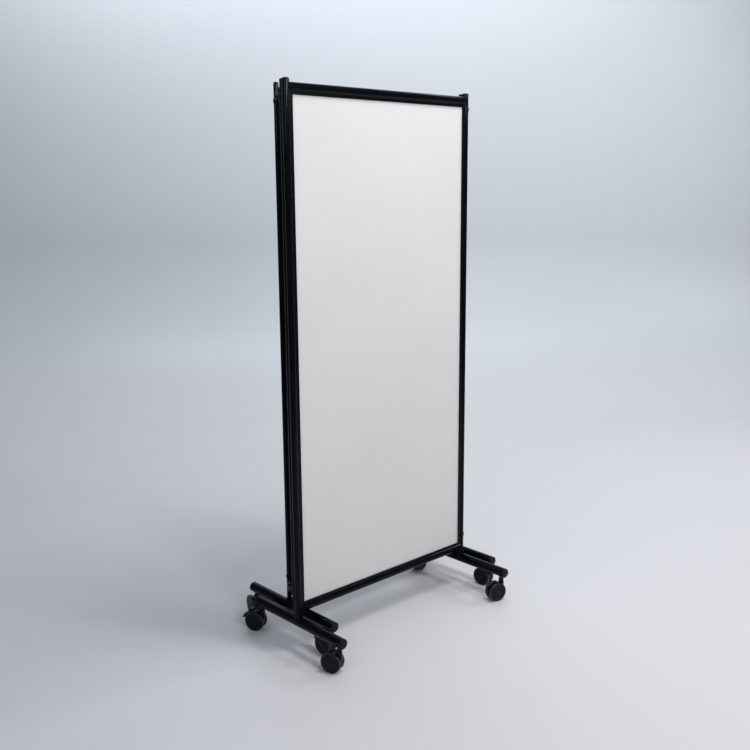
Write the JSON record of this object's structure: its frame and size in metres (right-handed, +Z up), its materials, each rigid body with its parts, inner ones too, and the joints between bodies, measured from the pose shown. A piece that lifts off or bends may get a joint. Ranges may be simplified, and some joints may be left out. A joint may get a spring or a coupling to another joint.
{
  "type": "rolling folding partition",
  "caption": "Free-standing room divider: white boards in black tubular frames, hinged into a flat Z-folded pack, with T-feet on swivel casters.",
  "frame": {"origin": "middle of the whole folded partition on the floor", "axes": "+X along the front board to the right seen from the front, +Y from the front leaf to the rear leaf, +Z up"},
  "size_m": [0.9012, 0.5894, 1.8],
  "materials": {
    "frame": "satin to gloss black powder coat on round steel tube",
    "edge_channel": "satin black folded channel",
    "board": "off-white matte sheet with a faint fine grain",
    "cap": "moulded black plastic plug",
    "steel": "bright zinc-plated steel",
    "hinge": "black powder-coated steel plate",
    "bolt": "blackened steel bolt with a bright worn end",
    "nylon": "black nylon washer",
    "caster_housing": "black moulded nylon, slightly glossy",
    "wheel": "black nylon twin wheel with a faint bluish sheen",
    "brake": "black moulded nylon pedal"
  },
  "bodies": {
    "front_leaf": {"front_left_post": "frame", "front_right_post": "frame", "front_top_rail": "frame", "front_bottom_rail": "frame", "front_board": "board", "front_edge_channel": "edge_channel", "front_left_foot": "frame", "front_right_foot": "frame", "front_foot_caps": "cap", "front_post_caps": "cap", "front_caster_stems": "steel", "front_stem_nuts": "steel", "front_hinge_plates": "hinge", "right_hinge_bolts": "bolt", "right_hinge_washers": "nylon"},
    "middle_leaf": {"middle_left_post": "frame", "middle_right_post": "frame", "middle_top_rail": "frame", "middle_bottom_rail": "frame", "middle_board": "board", "middle_edge_channel": "edge_channel", "middle_post_caps": "cap", "middle_hinge_plates": "hinge", "middle_hinge_arms": "hinge"},
    "rear_leaf": {"rear_left_post": "frame", "rear_right_post": "frame", "rear_top_rail": "frame", "rear_bottom_rail": "frame", "rear_board": "board", "rear_edge_channel": "edge_channel", "rear_left_foot": "frame", "rear_right_foot": "frame", "rear_foot_caps": "cap", "rear_post_caps": "cap", "rear_caster_stems": "steel", "rear_stem_nuts": "steel", "rear_hinge_arms": "hinge", "left_hinge_bolts": "bolt", "left_hinge_washers": "nylon"},
    "caster_1": {"caster_1_housing": "caster_housing"},
    "wheels_1": {"caster_1_wheels": "wheel"},
    "brake_1": {"caster_1_brake": "brake"},
    "caster_2": {"caster_2_housing": "caster_housing"},
    "wheels_2": {"caster_2_wheels": "wheel"},
    "caster_3": {"caster_3_housing": "caster_housing"},
    "wheels_3": {"caster_3_wheels": "wheel"},
    "caster_4": {"caster_4_housing": "caster_housing"},
    "wheels_4": {"caster_4_wheels": "wheel"},
    "brake_4": {"caster_4_brake": "brake"},
    "caster_5": {"caster_5_housing": "caster_housing"},
    "wheels_5": {"caster_5_wheels": "wheel"},
    "caster_6": {"caster_6_housing": "caster_housing"},
    "wheels_6": {"caster_6_wheels": "wheel"},
    "brake_6": {"caster_6_brake": "brake"},
    "caster_7": {"caster_7_housing": "caster_housing"},
    "wheels_7": {"caster_7_wheels": "wheel"},
    "caster_8": {"caster_8_housing": "caster_housing"},
    "wheels_8": {"caster_8_wheels": "wheel"},
    "brake_8": {"caster_8_brake": "brake"}
  },
  "joints": [
    {"name": "fold_right", "type": "hinge", "parent": "front_leaf", "child": "middle_leaf", "pos_m": [0.38991, -0.05873, 0.9], "axis": [0, 0, -1], "range_deg": [0, 180]},
    {"name": "fold_left", "type": "hinge", "parent": "middle_leaf", "child": "rear_leaf", "pos_m": [-0.38559, 0.00027, 0.9], "axis": [0, 0, 1], "range_deg": [0, 180]},
    {"name": "swivel_1", "type": "hinge", "parent": "front_leaf", "child": "caster_1", "pos_m": [-0.40734, 0.12927, 0.072], "axis": [0, 0, 1], "continuous": true},
    {"name": "roll_1", "type": "hinge", "parent": "caster_1", "child": "wheels_1", "pos_m": [-0.41875, 0.15073, 0.034], "axis": [-0.8829, -0.4695, 0], "continuous": true},
    {"name": "brake_1_lift", "type": "hinge", "parent": "caster_1", "child": "brake_1", "pos_m": [-0.42213, 0.15709, 0.07487], "axis": [0.8829, 0.4695, 0], "range_deg": [0, 18]},
    {"name": "swivel_2", "type": "hinge", "parent": "front_leaf", "child": "caster_2", "pos_m": [-0.40734, -0.27273, 0.072], "axis": [0, 0, 1], "continuous": true},
    {"name": "roll_2", "type": "hinge", "parent": "caster_2", "child": "wheels_2", "pos_m": [-0.41684, -0.25036, 0.034], "axis": [-0.9205, -0.3907, 0], "continuous": true},
    {"name": "swivel_3", "type": "hinge", "parent": "front_leaf", "child": "caster_3", "pos_m": [0.37566, -0.27273, 0.072], "axis": [0, 0, 1], "continuous": true},
    {"name": "roll_3", "type": "hinge", "parent": "caster_3", "child": "wheels_3", "pos_m": [0.35219, -0.26644, 0.034], "axis": [-0.2588, -0.9659, 0], "continuous": true},
    {"name": "swivel_4", "type": "hinge", "parent": "front_leaf", "child": "caster_4", "pos_m": [0.37566, 0.12927, 0.072], "axis": [0, 0, 1], "continuous": true},
    {"name": "roll_4", "type": "hinge", "parent": "caster_4", "child": "wheels_4", "pos_m": [0.35173, 0.12505, 0.034], "axis": [0.1736, -0.9848, 0], "continuous": true},
    {"name": "brake_4_lift", "type": "hinge", "parent": "caster_4", "child": "brake_4", "pos_m": [0.34463, 0.1238, 0.07487], "axis": [-0.1736, 0.9848, 0], "range_deg": [0, 18]},
    {"name": "swivel_5", "type": "hinge", "parent": "rear_leaf", "child": "caster_5", "pos_m": [-0.35234, 0.23427, 0.072], "axis": [0, 0, 1], "continuous": true},
    {"name": "roll_5", "type": "hinge", "parent": "caster_5", "child": "wheels_5", "pos_m": [-0.34646, 0.25785, 0.034], "axis": [-0.9703, 0.2419, 0], "continuous": true},
    {"name": "swivel_6", "type": "hinge", "parent": "rear_leaf", "child": "caster_6", "pos_m": [-0.35234, -0.16773, 0.072], "axis": [0, 0, 1], "continuous": true},
    {"name": "roll_6", "type": "hinge", "parent": "caster_6", "child": "wheels_6", "pos_m": [-0.35446, -0.14352, 0.034], "axis": [-0.9962, -0.0872, 0], "continuous": true},
    {"name": "brake_6_lift", "type": "hinge", "parent": "caster_6", "child": "brake_6", "pos_m": [-0.35509, -0.13634, 0.07487], "axis": [0.9962, 0.0872, 0], "range_deg": [0, 18]},
    {"name": "swivel_7", "type": "hinge", "parent": "rear_leaf", "child": "caster_7", "pos_m": [0.43066, -0.16773, 0.072], "axis": [0, 0, 1], "continuous": true},
    {"name": "roll_7", "type": "hinge", "parent": "caster_7", "child": "wheels_7", "pos_m": [0.42854, -0.14352, 0.034], "axis": [-0.9962, -0.0872, 0], "continuous": true},
    {"name": "swivel_8", "type": "hinge", "parent": "rear_leaf", "child": "caster_8", "pos_m": [0.43066, 0.23427, 0.072], "axis": [0, 0, 1], "continuous": true},
    {"name": "roll_8", "type": "hinge", "parent": "caster_8", "child": "wheels_8", "pos_m": [0.41204, 0.24989, 0.034], "axis": [-0.6428, -0.766, 0], "continuous": true},
    {"name": "brake_8_lift", "type": "hinge", "parent": "caster_8", "child": "brake_8", "pos_m": [0.40653, 0.25452, 0.07487], "axis": [0.6428, 0.766, 0], "range_deg": [0, 18]}
  ],
  "couplings": [
    {"joint": "fold_left", "follows": "fold_right", "ratio": 1}
  ]
}
